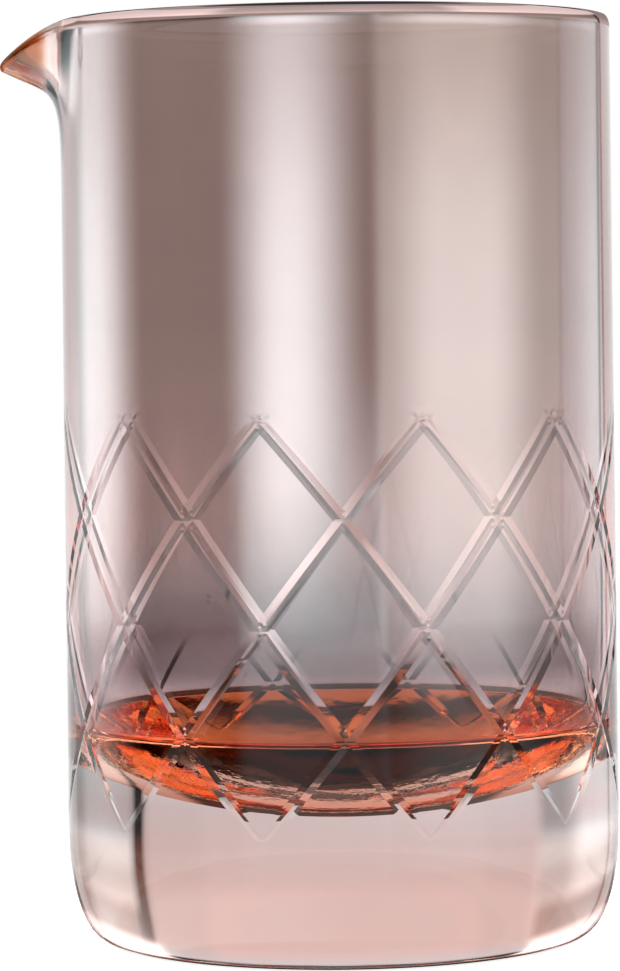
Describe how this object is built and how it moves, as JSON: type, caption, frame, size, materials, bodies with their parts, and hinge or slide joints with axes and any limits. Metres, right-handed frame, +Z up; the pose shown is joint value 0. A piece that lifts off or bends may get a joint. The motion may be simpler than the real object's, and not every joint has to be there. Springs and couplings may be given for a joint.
{
  "type": "mixing glass",
  "caption": "Tall straight-sided mixing glass in one piece of thick-based glass, with a pinched pouring lip and a band of crossing diamond cuts.",
  "frame": {"origin": "on the axis of the glass, at the centre of its flat underside", "axes": "+Z up along the axis of the glass, -X towards the tip of the pouring lip"},
  "size_m": [0.0999, 0.09, 0.1494],
  "materials": {
    "lustred_glass": "clear polished glass lined with a smoky rose half-mirror lustre that turns copper orange at the cavity floor and at the tip of the lip"
  },
  "bodies": {
    "root": {"glass_body": "lustred_glass"}
  },
  "joints": []
}
